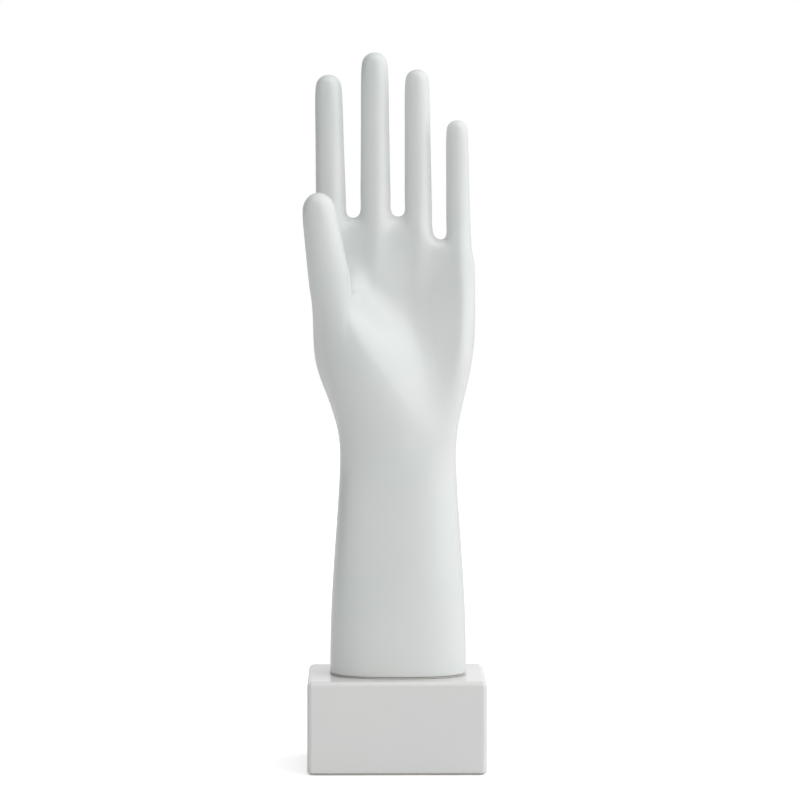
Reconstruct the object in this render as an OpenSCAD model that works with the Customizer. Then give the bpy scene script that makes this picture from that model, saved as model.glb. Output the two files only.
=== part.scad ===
// Porcelain left hand and forearm, bolted upright on a hollow glazed plinth.
// Millimetres. The origin is the centre of the underside, +Z is up and the palm faces -Y.

/* [Plinth] */
// Width of the plinth
plinth_w = 101.6; // [92:0.2:130]
// Depth of the plinth
plinth_d = 80; // [66:0.5:110]
// Height of the glazed plinth above its felt
plinth_h = 52; // [44:0.5:80]
// Radius of the plinth's top and upright edges
plinth_edge = 3; // [1:0.25:4]
// Radius of the plinth's lowest edges
plinth_foot_edge = 0.9; // [0.5:0.1:2]
// Thickness of the plinth's side walls
plinth_wall = 7.5; // [6:0.25:9]
// Thickness of the plinth's top
plinth_top = 8; // [5:0.25:10]
// Thickness of the board that closes the plinth
board_t = 5; // [3:0.5:8]
// Width of the ledge that the board rests against
ledge_w = 3; // [2:0.1:4]
// Thickness of the felt
felt_t = 1; // [0.8:0.1:3]
// Distance from the felt's edge to the side of the plinth
felt_inset = 1.5; // [1.25:0.25:4]

/* [Forearm and palm] */
// Width of the forearm at its foot
foot_w = 78.2; // [72:0.2:84]
// Depth of the forearm at its foot
foot_d = 54; // [50:0.5:60]
// Height from the foot to the narrowest point of the wrist
forearm_h = 128.1; // [110:0.1:160]
// Width of the wrist
wrist_w = 66.2; // [60:0.2:70]
// Depth of the wrist
wrist_d = 43; // [38:0.5:48]
// Height from the wrist to the roots of the fingers
palm_h = 124; // [118:0.5:132]
// Width of the palm
palm_w = 93.6; // [90:0.2:97]
// Thickness of the palm below the fingers
palm_t = 22; // [20:0.5:26]
// Distance from the middle of the palm to the crest of the thumb's mound
mound_d = 31; // [28:0.5:33]
// Depth of the hollow in the palm
hollow_d = 9; // [6:0.25:10]
// Thickness of the cast wall
cast_wall = 5; // [4:0.25:6]
// Thickness of the rim around the pour hole
rim_t = 8; // [6:0.5:12]
// Diameter of the pour hole
pour_d = 26; // [22:0.5:30]

/* [Fingers] */
// Length of the index finger from its root
index_l = 88.8; // [80:0.2:94]
// Length of the middle finger from its root
middle_l = 99.4; // [90:0.2:105]
// Length of the ring finger from its root
ring_l = 93.8; // [84:0.2:99]
// Length of the little finger from its root
little_l = 73; // [66:0.2:78]
// Thickness of the index finger
index_t = 16.5; // [14.5:0.1:17.5]
// Thickness of the middle finger
middle_t = 16.5; // [14.5:0.1:17.5]
// Thickness of the ring finger
ring_t = 15; // [13.5:0.1:16]
// Thickness of the little finger
little_t = 13.3; // [12:0.1:14.5]
// How far the fingertips lean forward
finger_lean = 5.5; // [2:0.25:8]
// Height of the thumb's tip above the wrist
thumb_h = 146.5; // [140:0.5:152]
// Thickness of the thumb
thumb_t = 21.4; // [19:0.1:22.5]
// How far the thumb's tip stands in front of the middle of the palm
thumb_reach = 38; // [34:0.5:44]

/* [Fixings] */
// Thickness of the gasket under the foot
gasket_t = 0.8; // [0.5:0.1:2]
// Distance from the gasket's edge to the side of the foot
gasket_inset = 0.6; // [0.5:0.1:3]
// Diameter of the tie rod
rod_d = 6; // [5:0.5:8]
// Width of a nut across its flats
nut_w = 10; // [9:0.5:13]
// Height of a nut
nut_t = 5; // [4:0.25:7]
// Diameter of a washer
washer_d = 18; // [15:0.5:20]
// Thickness of a washer
washer_t = 1.6; // [1:0.1:2.5]
// Length of the anchor bar
bar_l = 44; // [40:1:50]
// Width of the anchor bar
bar_w = 16; // [13:0.5:18]
// Thickness of the anchor bar
bar_t = 4; // [3:0.5:6]
// Thickness of the cushion ring
cushion_t = 2; // [1.5:0.25:4]
// Diameter of the cushion ring
cushion_d = 37; // [35:0.5:38]
// Thickness of the centring bush's flange
flange_t = 2; // [1.5:0.25:4]
// Diameter of the centring bush's flange
flange_d = 36; // [34:0.5:44]

/* [Hidden] */
// Clearance of a loose fit
play = 0.3;
// How far the tie rod stands out of each nut
rod_end = 3;
plinth_top_z = felt_t + plinth_h;
foot_z = plinth_top_z + gasket_t;
wrist_z = foot_z + forearm_h;
knuckle_z = wrist_z + palm_h;
rim_z = foot_z + rim_t;

// Middle of the forearm and of the palm, and the sides of the palm
arm_x = 0.9;
palm_x = -1;
palm_left = palm_x - palm_w / 2;
palm_right = palm_x + palm_w / 2;
// Height from the wrist to where the palm reaches its full width
palm_rise = 71;

// Fingers from the index to the little one
finger_l = [index_l, middle_l, ring_l, little_l];
finger_t = [index_t, middle_t, ring_t, little_t];
finger_side = [2.4, 3.6];
finger_gap = (palm_w - finger_side[0] - finger_side[1] - index_t - middle_t - ring_t - little_t) / 3;
finger_x = [
    palm_left + finger_side[0] + index_t / 2,
    palm_left + finger_side[0] + index_t + finger_gap + middle_t / 2,
    palm_right - finger_side[1] - little_t - finger_gap - ring_t / 2,
    palm_right - finger_side[1] - little_t / 2
];
// Sideways drift of each tip, height of each root and of each web above the knuckles
tip_drift = [-1.5, -0.6, -1, -1.2];
root_rise = [0.7, 2.7, -1.3, -9.3];
web_rise = [9.9, 10.9, -2.9];
// Height of the left, middle and right of each root above that root
root_edge = [[0, 0, 3], [2, 0, 2], [5, 2, -5], [1, -1, -1]];
// Depth of the fingers' middle behind the middle of the palm
finger_y = 1.5;
root_taper = 1.07;
tip_taper = 0.93;

// The upper edge of the thumb's mound: its centre and its half sizes
mound_x = palm_left + 25.8;
mound_z = wrist_z + 43.7;
mound_w = 41;
mound_h = 42;
// The mound's outline rises towards the thumb
thumb_rise = 4;
thumb_rise_x = palm_left + 20.8;
thumb_rise_w = 10;
// Crest of the mound from the thumb to the wrist: across, height, how far forward, and how far to the crease
crest = [
    [14, 81, mound_d, 16],
    [22, 66, mound_d, 19],
    [32, 49, mound_d - 1, 25],
    [42, 32, mound_d - 3, 29],
    [50, 13, mound_d - 7, 30]
];
crest_round = 20;
crease_drop = 20;
left_drop = 7;
// How softly the mound runs out into the palm
crease_soft = 4;

// The hollow of the palm and the heel beside it: middle and half sizes, and the heel's height
hollow_x = palm_x + 10;
hollow_z = wrist_z + 84;
hollow_w = 26;
hollow_h = 27;
heel_x = palm_right - 8;
heel_z = wrist_z + 58.7;
heel_w = 8;
heel_h = 48;
heel_d = 5;
// The left side swells above the wrist: how far, its middle and its half height
swell_d = 4.2;
swell_z = wrist_z + 56;
swell_h = 20;
// How far the fingers' roots stand out of the upper palm as ribs
root_rib = 1.2;

// The thumb's rings from its root: centre, tilt forward, lean to the side and radius
thumb_root_x = palm_left + 11.9;
thumb_root_z = wrist_z + 81.2;
thumb_root = [thumb_root_x, -20.5, thumb_root_z];
thumb_tip_r = thumb_t * 0.45;
thumb_tip = [palm_left + 4, -thumb_reach, wrist_z + thumb_h - thumb_tip_r];
thumb_path = [
    thumb_root,
    mix(thumb_root, thumb_tip, 0.24) + [0.2, -1, 0],
    mix(thumb_root, thumb_tip, 0.48) + [0, -2.5, 0],
    mix(thumb_root, thumb_tip, 0.73) + [0, -2, 0],
    thumb_tip
];
thumb_tilt = [38, 22, 14, 8, 4];
thumb_side_lean = [28, 15, 8, 6, 6];
thumb_taper = [1.2, 1.14, 1.04, 0.97, 0.9];

// Control net: columns on the front and back, and the share of the palm's height of its rows
columns = 12;
ring_size = 2 * columns + 2;
arm_levels = [0, 0.015, 0.16, 0.35, 0.56, 0.76, 0.9, 1];
palm_levels = [0.1, 0.2, 0.304, 0.409, 0.514, 0.619, 0.723, 0.869];
// Rows that bend along the edge of the mound, and the first of them that the thumb takes
first_bent = 1;
bent_drop = [0, 45, 30, 17, 6, -4, -4];
bent_share = [0, 0.6, 0.9, 1, 1, 1, 0.55];
first_root = 3;
inner_levels = [0.44, 0.33, 0.2, 0];
inner_arm_levels = [0.76, 0.45, 0.2];
tip_angles = [0, 34, 64];
finger_rows = [0.13, 0.3, 0.5, 0.7];

// Small helpers
function clamp01(t) = min(1, max(0, t));
function ease(t) = let (c = clamp01(t)) c * c * (3 - 2 * c);
function mix(a, b, t) = a + (b - a) * t;
function bump(t) = exp(-t * t);
function total(list) = [for (item = list) 1] * list;
function smooth_max(a, b, width) =
    let (share = clamp01(0.5 + (a - b) / (2 * width)))
    mix(b, a, share) + width * share * (1 - share);
// A smoothed ring lies inside its control points by this factor
function grow(sides) = 6 / (4 + 2 * cos(360 / sides));

// Forearm and palm as functions of the height
function arm_share(z) = ease(pow(clamp01((z - foot_z) / forearm_h), 1.25));
function palm_share(z) = ease((z - wrist_z) / palm_rise);
function thin_share(z) = ease((z - wrist_z) / palm_h);
function finger_share(z) = ease((z - wrist_z - 12) / 78);
function middle_x(z) = mix(arm_x, palm_x, palm_share(z));
function half_w(z) = mix(mix(foot_w, wrist_w, arm_share(z)), palm_w, palm_share(z)) / 2;
function arm_d(z) = mix(foot_d, wrist_d, arm_share(z)) / 2;
function front_d(z) = mix(arm_d(z), palm_t * 0.41, thin_share(z));
function back_d(z) = mix(arm_d(z), palm_t * 0.59, thin_share(z));
function roundness(z) = mix(2.5, 2.4, palm_share(z));
function side(share, power) = pow(max(0, 1 - pow(abs(share), power)), 1 / power);

// Columns: spread evenly round the forearm, and three to each finger in the palm
function even_share(k) = -cos((k + 1) * 180 / (columns + 1));
function net_half_w(z) = half_w(z) / (2 / 3 + mix(-even_share(0), 0.93, finger_share(z)) / 3);
function corner_x(k) =
    let (i = floor(k / 3))
    finger_x[i] + (k % 3 - 1) * grow(8) * finger_t[i] / 2 * cos(45);
function column_x(k, z) = mix(middle_x(z) + even_share(k) * net_half_w(z), corner_x(k), finger_share(z));

// The thumb's mound and the relief of the palm, as depths towards the viewer
function mound_rise(x) =
    let (u = (max(x, mound_x) - mound_x) / mound_w)
    mound_h * sqrt(max(0.001, 1 - u * u)) + thumb_rise * bump((x - thumb_rise_x) / thumb_rise_w);
// The nearest place on the crest: distance to it, positive towards the fingers, then reach and width
function crest_at(x, z) =
    let (
        places = [for (i = [0:len(crest) - 2])
            let (
                start = crest[i],
                end = crest[i + 1],
                along = [end[0] - start[0], end[1] - start[1]],
                away = [x - palm_left - start[0], z - wrist_z - start[1]],
                share = clamp01(away * along / (along * along)),
                above = along.x * away.y - along.y * away.x > 0 ? 1 : -1
            )
            [above * norm(away - share * along), mix(start[2], end[2], share), mix(start[3], end[3], share)]],
        nearest = min([for (place = places) abs(place[0])])
    )
    [for (place = places) if (abs(place[0]) == nearest) place][0];
function mound_front(x, z) =
    let (place = crest_at(x, z), distance = place[0], width = place[2])
    place[1] - (distance > 0
        ? crease_drop * (norm([distance, crest_round]) - crest_round) / (width - crest_round / 2)
        : left_drop * pow(distance / width, 2));
function palm_relief(x, z) =
    heel_d * bump((x - heel_x) / heel_w) * bump((z - heel_z) / heel_h)
    - hollow_d * bump((x - hollow_x) / hollow_w) * bump((z - hollow_z) / hollow_h);
function side_share(x, z) = (x - middle_x(z)) / net_half_w(z);
function skin_front(x, z) = front_d(z) * side(side_share(x, z), roundness(z)) + palm_relief(x, z);
function front_y(x, z) = -smooth_max(skin_front(x, z), mound_front(x, z) * side(side_share(x, z), 4), crease_soft);
function back_y(x, z) = back_d(z) * side(side_share(x, z), roundness(z));

// Rows of the palm bend to follow the upper edge of the mound
function row_z(row) = wrist_z + palm_h * palm_levels[row];
function mound_edge(x) = mound_z + mound_rise(min(x, mound_x + 36));
function bend_share(x) = 1 - ease((x - mound_x - 34) / 12);
function bent_z(row, x) = mix(row_z(row == 6 ? 7 : row), mound_edge(x) - bent_drop[row], bent_share[row]);
function front_row_z(row, x) =
    row < first_bent || row > 6 ? row_z(row) : mix(row_z(row), bent_z(row, x), bend_share(x));

// One ring of the thumb, or of its round tip when up is above zero
function thumb_ring(centre, tilt, lean, radius, up = 0) =
    let (
        along = [-sin(lean), -sin(tilt) * cos(lean), cos(tilt) * cos(lean)],
        flat = [1, 0, 0] - along.x * along,
        across = flat / norm(flat),
        behind = cross(along, across)
    )
    [for (a = [225:30:555]) centre + up * along + radius * (cos(a) * across + sin(a) * behind)];
function thumb_ring_at(s) =
    thumb_ring(thumb_path[s], thumb_tilt[s], thumb_side_lean[s], grow(12) * thumb_taper[s] * thumb_t / 2);

// Rings of the outer skin
root_ring = thumb_ring_at(0);
root_slot = [[0, 11, 10, 9], [1, 0, 0, 8], [2, 0, 0, 7], [3, 4, 5, 6]];
function arm_ring(z) = [for (j = [0:ring_size - 1])
    j == 0 ? [middle_x(z) - net_half_w(z), 0, z]
    : j <= columns ? let (x = column_x(j - 1, z)) [x, front_y(x, z), z]
    : j == columns + 1 ? [middle_x(z) + net_half_w(z), 0, z]
    : let (x = column_x(ring_size - 1 - j, z)) [x, back_y(x, z), z]];
function left_swell(z) = swell_d * bump((z - swell_z) / swell_h);
// The fingers' roots show in the upper palm as soft ribs, with shallow grooves between them
function rib(k, row) = row == len(palm_levels) - 1 ? root_rib * (k % 3 == 1 ? 1 : -0.5) : 0;
function palm_ring(row) =
    let (
        z = row_z(row),
        left_z = front_row_z(row, palm_left),
        in_root = row >= first_root && row < first_root + 4
    )
    [for (j = [0:ring_size - 1])
        in_root && j < 4 ? root_ring[root_slot[j][row - first_root]]
        : j == 0 ? [middle_x(left_z) - net_half_w(left_z) - left_swell(left_z), 0, left_z]
        : j <= columns ? let (x = column_x(j - 1, z), h = front_row_z(row, x)) [x, front_y(x, h) - rib(j - 1, row), h]
        : j == columns + 1 ? [middle_x(z) + net_half_w(z), 0, z]
        : let (x = column_x(ring_size - 1 - j, z)) [x - (j == ring_size - 1 ? left_swell(z) : 0), back_y(x, z), z]];

// Ring at the knuckles, with the webs between the fingers
function root_z(i) = knuckle_z + root_rise[i];
function knuckle_ring() = [for (j = [0:ring_size - 1])
    j == 0 ? [middle_x(knuckle_z) - net_half_w(knuckle_z), finger_y, root_z(0)]
    : j == columns + 1 ? [palm_right - 1.6, finger_y, root_z(3) - 3]
    : let (k = j <= columns ? j - 1 : ring_size - 1 - j, i = floor(k / 3), mid = k % 3 == 1)
        [corner_x(k),
         j <= columns ? (mid ? -palm_t * 0.4 : -palm_t * 0.3) : (mid ? palm_t * 0.55 : palm_t * 0.46),
         root_z(i) + root_edge[i][k % 3]]];
web_points = [for (k = [1:columns - 2])
    let (i = floor(k / 3), r = finger_r(i, 1))
    k % 3 == 1
        ? [finger_x[i] + tip_drift[i], finger_mid_y(1), tip_centre_z(i) + 1.05 * r]
        : [finger_x[i] + (k % 3 - 1) * grow(8) * finger_t[i] / 2, finger_y,
           knuckle_z + web_rise[k % 3 == 2 ? i : i - 1]]];

// Rings of the inner skin and of the rim round the pour hole
function inset(ring, z, wall) = [for (p = ring)
    let (away = [p.x - middle_x(z), p.y], reach = norm(away), share = (reach - wall) / reach)
    [middle_x(z) + away.x * share, away.y * share, z]];
function plain_ring(z) = [for (p = arm_ring(z)) [p.x, p.y < 0 ? max(p.y, -front_d(z)) : p.y, z]];
function hole_ring(z, radius) = [for (j = [0:ring_size - 1])
    [-radius * cos(j * 360 / ring_size), -radius * sin(j * 360 / ring_size), z]];
inner_rings = concat(
    [for (t = inner_levels) let (z = wrist_z + palm_h * t) inset(plain_ring(z), z, cast_wall)],
    [for (t = inner_arm_levels) let (z = foot_z + forearm_h * t) inset(plain_ring(z), z, cast_wall)],
    [inset(plain_ring(rim_z), rim_z + 4, cast_wall), inset(plain_ring(rim_z), rim_z, cast_wall)],
    [hole_ring(rim_z, cushion_d / 2 + 0.5), hole_ring(rim_z, pour_d / 2), hole_ring(rim_z - 1, pour_d / 2)],
    [hole_ring(foot_z + 1, pour_d / 2), hole_ring(foot_z, pour_d / 2)],
    [inset(arm_ring(foot_z), foot_z, 6), inset(arm_ring(foot_z), foot_z, 1.5)]
);
outer_rings = concat(
    [for (t = arm_levels) arm_ring(foot_z + forearm_h * t)],
    [for (row = [0:len(palm_levels) - 1]) palm_ring(row)],
    [knuckle_ring()]
);
strip = concat(inner_rings, outer_rings);
top_row = len(strip) - 1;
root_row = len(inner_rings) + len(arm_levels) + first_root;

// Faces of the strip, which leaves the thumb's root open
function at(row, j) = row * ring_size + j % ring_size;
function in_root(row, j) = row >= root_row && row < root_row + 3 && j < 3;
strip_faces = [for (row = [0:top_row - 1]) for (j = [0:ring_size - 1]) if (!in_root(row, j))
    [at(row, j), at(row, j + 1), at(row + 1, j + 1), at(row + 1, j)]];

// Grids that close the inner skin and join the fingers at their webs
inner_mid = len(strip) * ring_size;
web_mid = inner_mid + columns - 2;
function front_at(row, k) = at(row, 1 + k);
function back_at(row, k) = at(row, ring_size - 1 - k);
function mid_at(row, base, k) = k == 0 ? at(row, 0) : k == columns - 1 ? at(row, columns + 1) : base + k - 1;
function grid_faces(row, base, k) = [
    [front_at(row, k), front_at(row, k + 1), mid_at(row, base, k + 1), mid_at(row, base, k)],
    [mid_at(row, base, k), mid_at(row, base, k + 1), back_at(row, k + 1), back_at(row, k)]];
inner_points = [for (k = [1:columns - 2]) (strip[0][1 + k] + strip[0][ring_size - 1 - k]) / 2];
inner_faces = [for (k = [0:columns - 2]) for (face = grid_faces(0, inner_mid, k)) reversed(face)];
web_faces = [for (k = [2:3:columns - 2]) each grid_faces(top_row, web_mid, k)];

// Fingers: eight-sided rings on each root, and a round tip
function finger_r(i, t) = finger_t[i] / 2 * mix(root_taper, tip_taper, t);
function finger_mid_y(t) = finger_y - finger_lean * t * t;
function tip_centre_z(i) = root_z(i) + finger_l[i] - 0.98 * finger_r(i, 1);
root_slope = [3, 0, -9, -2];
function finger_ring(i, t) =
    let (
        fade = pow(1 - t, 6),
        z = mix(root_z(i), tip_centre_z(i), t) + 6 * fade,
        r = finger_r(i, t) * grow(8)
    )
    [for (a = [180:45:495])
        let (web = (a == 360 && i < 3) || (a == 180 && i > 0) ? 3 : 0)
        [finger_x[i] + tip_drift[i] * t + r * cos(a), finger_mid_y(t) + r * sin(a),
         z + fade * (root_slope[i] * cos(a) + web)]];
function tip_ring(i, rise) =
    let (r = finger_r(i, 1) * 1.03)
    [for (a = [180:45:495])
        [finger_x[i] + tip_drift[i] + r * grow(8) * cos(rise) * cos(a),
         finger_mid_y(1) + r * grow(8) * cos(rise) * sin(a),
         tip_centre_z(i) + r * sin(rise)]];
function finger_rings(i) = concat(
    [for (t = finger_rows) finger_ring(i, t)],
    [for (rise = tip_angles) tip_ring(i, rise)]);
finger_ring_count = len(finger_rows) + len(tip_angles);
finger_start = web_mid + columns - 2;
finger_points = [for (i = [0:3]) each [for (ring = finger_rings(i)) each ring]];
function octagon(i) =
    let (k = 3 * i)
    [mid_at(top_row, web_mid, k), front_at(top_row, k), front_at(top_row, k + 1), front_at(top_row, k + 2),
     mid_at(top_row, web_mid, k + 2), back_at(top_row, k + 2), back_at(top_row, k + 1), back_at(top_row, k)];
function finger_at(i, s, a) =
    s == 0 ? octagon(i)[a % 8] : finger_start + (i * finger_ring_count + s - 1) * 8 + a % 8;
finger_faces = [for (i = [0:3]) each concat(
    tube_faces([for (s = [0:finger_ring_count]) [for (a = [0:7]) finger_at(i, s, a)]]),
    [for (a = [0:2:6])
        [finger_at(i, finger_ring_count, a), finger_at(i, finger_ring_count, a + 1),
         finger_at(i, finger_ring_count, a + 2), web_mid + 3 * i]])];

// Thumb: twelve-sided rings on its root, and a round tip closed by a grid
thumb_rings = concat(
    [for (s = [1:len(thumb_path) - 2]) thumb_ring_at(s)],
    [for (rise = tip_angles)
        thumb_ring(thumb_tip, thumb_tilt[4], thumb_side_lean[4],
            thumb_tip_r * 1.05 * cos(rise), thumb_tip_r * 1.03 * sin(rise))]);
thumb_ring_count = len(thumb_rings);
thumb_start = finger_start + len(finger_points);
thumb_points = [for (ring = thumb_rings) each ring];
thumb_crown = thumb_ring(thumb_tip, thumb_tilt[4], thumb_side_lean[4], thumb_tip_r * 0.24, thumb_tip_r * 1.03);
root_hole = [
    for (j = [0:3]) at(root_row, j), at(root_row + 1, 3), at(root_row + 2, 3),
    for (j = [3:-1:0]) at(root_row + 3, j), at(root_row + 2, 0), at(root_row + 1, 0)];
function thumb_at(s, a) = s == 0 ? root_hole[a % 12] : thumb_start + (s - 1) * 12 + a % 12;
crown_at = [at(root_row + 1, 1), at(root_row + 1, 2), at(root_row + 2, 2), at(root_row + 2, 1)];
function rim_at(a) = thumb_at(thumb_ring_count, a);
thumb_grid = [
    [rim_at(0), rim_at(1), rim_at(2), rim_at(3)],
    [rim_at(11), crown_at[0], crown_at[1], rim_at(4)],
    [rim_at(10), crown_at[3], crown_at[2], rim_at(5)],
    [rim_at(9), rim_at(8), rim_at(7), rim_at(6)]];
thumb_faces = concat(
    tube_faces([for (s = [0:thumb_ring_count]) [for (a = [0:11]) thumb_at(s, a)]]),
    [for (r = [0:2]) for (c = [0:2])
        [thumb_grid[r][c], thumb_grid[r][c + 1], thumb_grid[r + 1][c + 1], thumb_grid[r + 1][c]]]);

function reversed(list) = [for (i = [len(list) - 1:-1:0]) list[i]];
function tube_faces(rings) = [for (s = [0:len(rings) - 2]) for (a = [0:len(rings[0]) - 1])
    let (b = (a + 1) % len(rings[0]))
    [rings[s][a], rings[s][b], rings[s + 1][b], rings[s + 1][a]]];

// The whole control net; the four points inside the thumb's root move up to its crown
net_points = concat(
    [for (row = [0:top_row]) for (j = [0:ring_size - 1])
        let (slot = search([at(row, j)], crown_at)[0])
        is_num(slot) ? thumb_crown[3 * slot] : strip[row][j]],
    inner_points, web_points, finger_points, thumb_points);
net_faces = concat(strip_faces, inner_faces, web_faces, finger_faces, thumb_faces);

// One round of Catmull-Clark subdivision of a closed net of four-sided faces
function subdivided(points, faces) =
    let (
        n = len(points),
        half = [for (face = faces) for (i = [0:3]) [face[i], face[(i + 1) % 4]]],
        middles = [for (face = faces) total([for (v = face) points[v]]) / 4],
        keys = [for (h = half) min(h) * n + max(h)],
        rising = [for (h = [0:len(half) - 1]) if (half[h][0] < half[h][1]) h],
        falling = [for (h = [0:len(half) - 1]) if (half[h][0] > half[h][1]) h],
        rising_keys = [for (h = rising) keys[h]],
        edge_of = search(keys, rising_keys),
        partner = search(rising_keys, [for (h = falling) keys[h]]),
        edge_points = [for (e = [0:len(rising) - 1])
            let (one = rising[e], other = falling[partner[e]])
            (points[half[one][0]] + points[half[one][1]]
                + middles[floor(one / 4)] + middles[floor(other / 4)]) / 4],
        around = search([for (v = [0:n - 1]) v], [for (h = half) h[0]], 0),
        corner_points = [for (v = [0:n - 1])
            let (
                m = len(around[v]),
                face_mean = total([for (h = around[v]) middles[floor(h / 4)]]) / m,
                edge_mean = total([for (h = around[v]) (points[v] + points[half[h][1]]) / 2]) / m
            )
            (face_mean + 2 * edge_mean + (m - 3) * points[v]) / m]
    )
    [
        concat(corner_points, middles, edge_points),
        [for (h = [0:len(half) - 1])
            let (f = floor(h / 4), before = 4 * f + (h + 3) % 4, first_edge = n + len(faces))
            [half[h][0], first_edge + edge_of[h], n + f, first_edge + edge_of[before]]]
    ];

// Points of a net, moved onto the smooth surface that further rounds would reach
function settled(points, faces) =
    let (around = search([for (v = [0:len(points) - 1]) v], [for (face = faces) each face], 0))
    [for (v = [0:len(points) - 1])
        let (
            m = len(around[v]),
            next = total([for (h = around[v]) points[faces[floor(h / 4)][(h + 1) % 4]]]),
            across = total([for (h = around[v]) points[faces[floor(h / 4)][(h + 2) % 4]]])
        )
        (m * m * points[v] + 4 * next + across) / (m * (m + 5))];

module hand() {
    net = subdivided(net_points, net_faces);
    color("#e6e9e5")
        polyhedron(settled(net[0], net[1]), [for (face = net[1]) reversed(face)]);
}

// Outlines
module rounded_rect(width, depth, radius) {
    square([width - 2 * radius, depth], center = true);
    square([width, depth - 2 * radius], center = true);
    for (x = [-1, 1]) for (y = [-1, 1])
        translate([x * (width / 2 - radius), y * (depth / 2 - radius)])
            circle(r = radius, $fn = 48);
}
module upright_profile(width) {
    difference() {
        translate([-width / 2, felt_t])
            square([width, plinth_h]);
        for (x = [-1, 1]) {
            edge_cut(x, x * width / 2, plinth_top_z, plinth_edge, 1);
            edge_cut(x, x * width / 2, felt_t, plinth_foot_edge, -1);
        }
    }
}
module edge_cut(x, corner_x, corner_z, radius, z) {
    translate([corner_x - x * radius, corner_z - z * radius])
        difference() {
            translate([x > 0 ? 0 : -radius - 1, z > 0 ? 0 : -radius - 1])
                square(radius + 1);
            circle(r = radius, $fn = 48);
        }
}
function foot_outline(gap) = [for (p = inset(arm_ring(foot_z), foot_z, gap)) [p.x, p.y]];

module plinth() {
    color("#e9ebe8")
        difference() {
            intersection() {
                translate([0, 0, felt_t])
                    linear_extrude(plinth_h)
                        rounded_rect(plinth_w, plinth_d, plinth_edge);
                rotate([90, 0, 0])
                    linear_extrude(plinth_d, center = true)
                        upright_profile(plinth_w);
                rotate([90, 0, 90])
                    linear_extrude(plinth_w, center = true)
                        upright_profile(plinth_d);
            }
            translate([0, 0, felt_t - 1])
                linear_extrude(board_t + 1)
                    board_outline(0);
            translate([0, 0, felt_t + board_t - 1])
                linear_extrude(plinth_h - plinth_top - board_t + 1)
                    rounded_rect(plinth_w - 2 * plinth_wall, plinth_d - 2 * plinth_wall, plinth_edge);
            translate([0, 0, plinth_top_z - plinth_top - 1])
                cylinder(h = plinth_top + 2, d = pour_d, $fn = 96);
        }
}
module board_outline(gap) {
    reach = 2 * (plinth_wall - ledge_w + gap);
    rounded_rect(plinth_w - reach, plinth_d - reach, plinth_edge);
}
module base_board() {
    color("#8a6f4e")
        translate([0, 0, felt_t])
            linear_extrude(board_t)
                board_outline(play);
}
module felt_base() {
    color("#cfcdc6")
        linear_extrude(felt_t)
            rounded_rect(plinth_w - 2 * felt_inset, plinth_d - 2 * felt_inset, plinth_edge);
}
module foot_gasket() {
    color("#dfe1de")
        translate([0, 0, plinth_top_z])
            linear_extrude(gasket_t)
                difference() {
                    polygon(foot_outline(gasket_inset));
                    circle(d = pour_d + 3, $fn = 96);
                }
}

// A disc or sleeve on the tie rod, from a height upwards
module ring(z, height, outer_d, inner_d) {
    translate([0, 0, z])
        difference() {
            cylinder(h = height, d = outer_d, $fn = 96);
            translate([0, 0, -1])
                cylinder(h = height + 2, d = inner_d, $fn = 96);
        }
}
module nut(z) {
    translate([0, 0, z])
        difference() {
            cylinder(h = nut_t, d = nut_w / cos(30), $fn = 6);
            translate([0, 0, -1])
                cylinder(h = nut_t + 2, d = rod_d, $fn = 96);
        }
}

// Stack of fixings, downwards from the plinth's top and upwards from the rim
flange_z = plinth_top_z - plinth_top - flange_t;
clamp_washer_z = flange_z - washer_t;
clamp_nut_z = clamp_washer_z - nut_t;
bar_z = rim_z + cushion_t;
anchor_washer_z = bar_z + bar_t;
anchor_nut_z = anchor_washer_z + washer_t;
rod_bottom_z = clamp_nut_z - rod_end;
rod_top_z = anchor_nut_z + nut_t + rod_end;
bush_top_z = rim_z - 2;

module centring_bush() {
    color("#d8d4c8")
        union() {
            ring(flange_z, flange_t, flange_d, rod_d + play);
            ring(flange_z + flange_t - 0.5, bush_top_z - flange_z - flange_t + 0.5, pour_d - 2 * play - 0.6, rod_d + play);
        }
}
module clamp_washer() {
    color("#b9bcbe")
        ring(clamp_washer_z, washer_t, washer_d, rod_d + play);
}
module clamp_nut() {
    color("#b9bcbe")
        nut(clamp_nut_z);
}
module tie_rod() {
    color("#c3c6c8")
        translate([0, 0, rod_bottom_z])
            cylinder(h = rod_top_z - rod_bottom_z, d = rod_d, $fn = 96);
}
module cushion_ring() {
    color("#2d2e30")
        ring(rim_z, cushion_t, cushion_d, pour_d + 1);
}
module anchor_bar() {
    color("#aeb1b3")
        translate([0, 0, bar_z])
            difference() {
                linear_extrude(bar_t)
                    rounded_rect(bar_l, bar_w, 2);
                translate([0, 0, -1])
                    cylinder(h = bar_t + 2, d = rod_d + play, $fn = 96);
            }
}
module anchor_washer() {
    color("#b9bcbe")
        ring(anchor_washer_z, washer_t, washer_d, rod_d + play);
}
module anchor_nut() {
    color("#b9bcbe")
        nut(anchor_nut_z);
}

hand();
foot_gasket();
plinth();
centring_bush();
clamp_washer();
clamp_nut();
tie_rod();
cushion_ring();
anchor_bar();
anchor_washer();
anchor_nut();
base_board();
felt_base();
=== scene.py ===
"""A glazed porcelain hand on its hollow plinth, with the fixings inside, in a pale studio."""

import math

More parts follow.
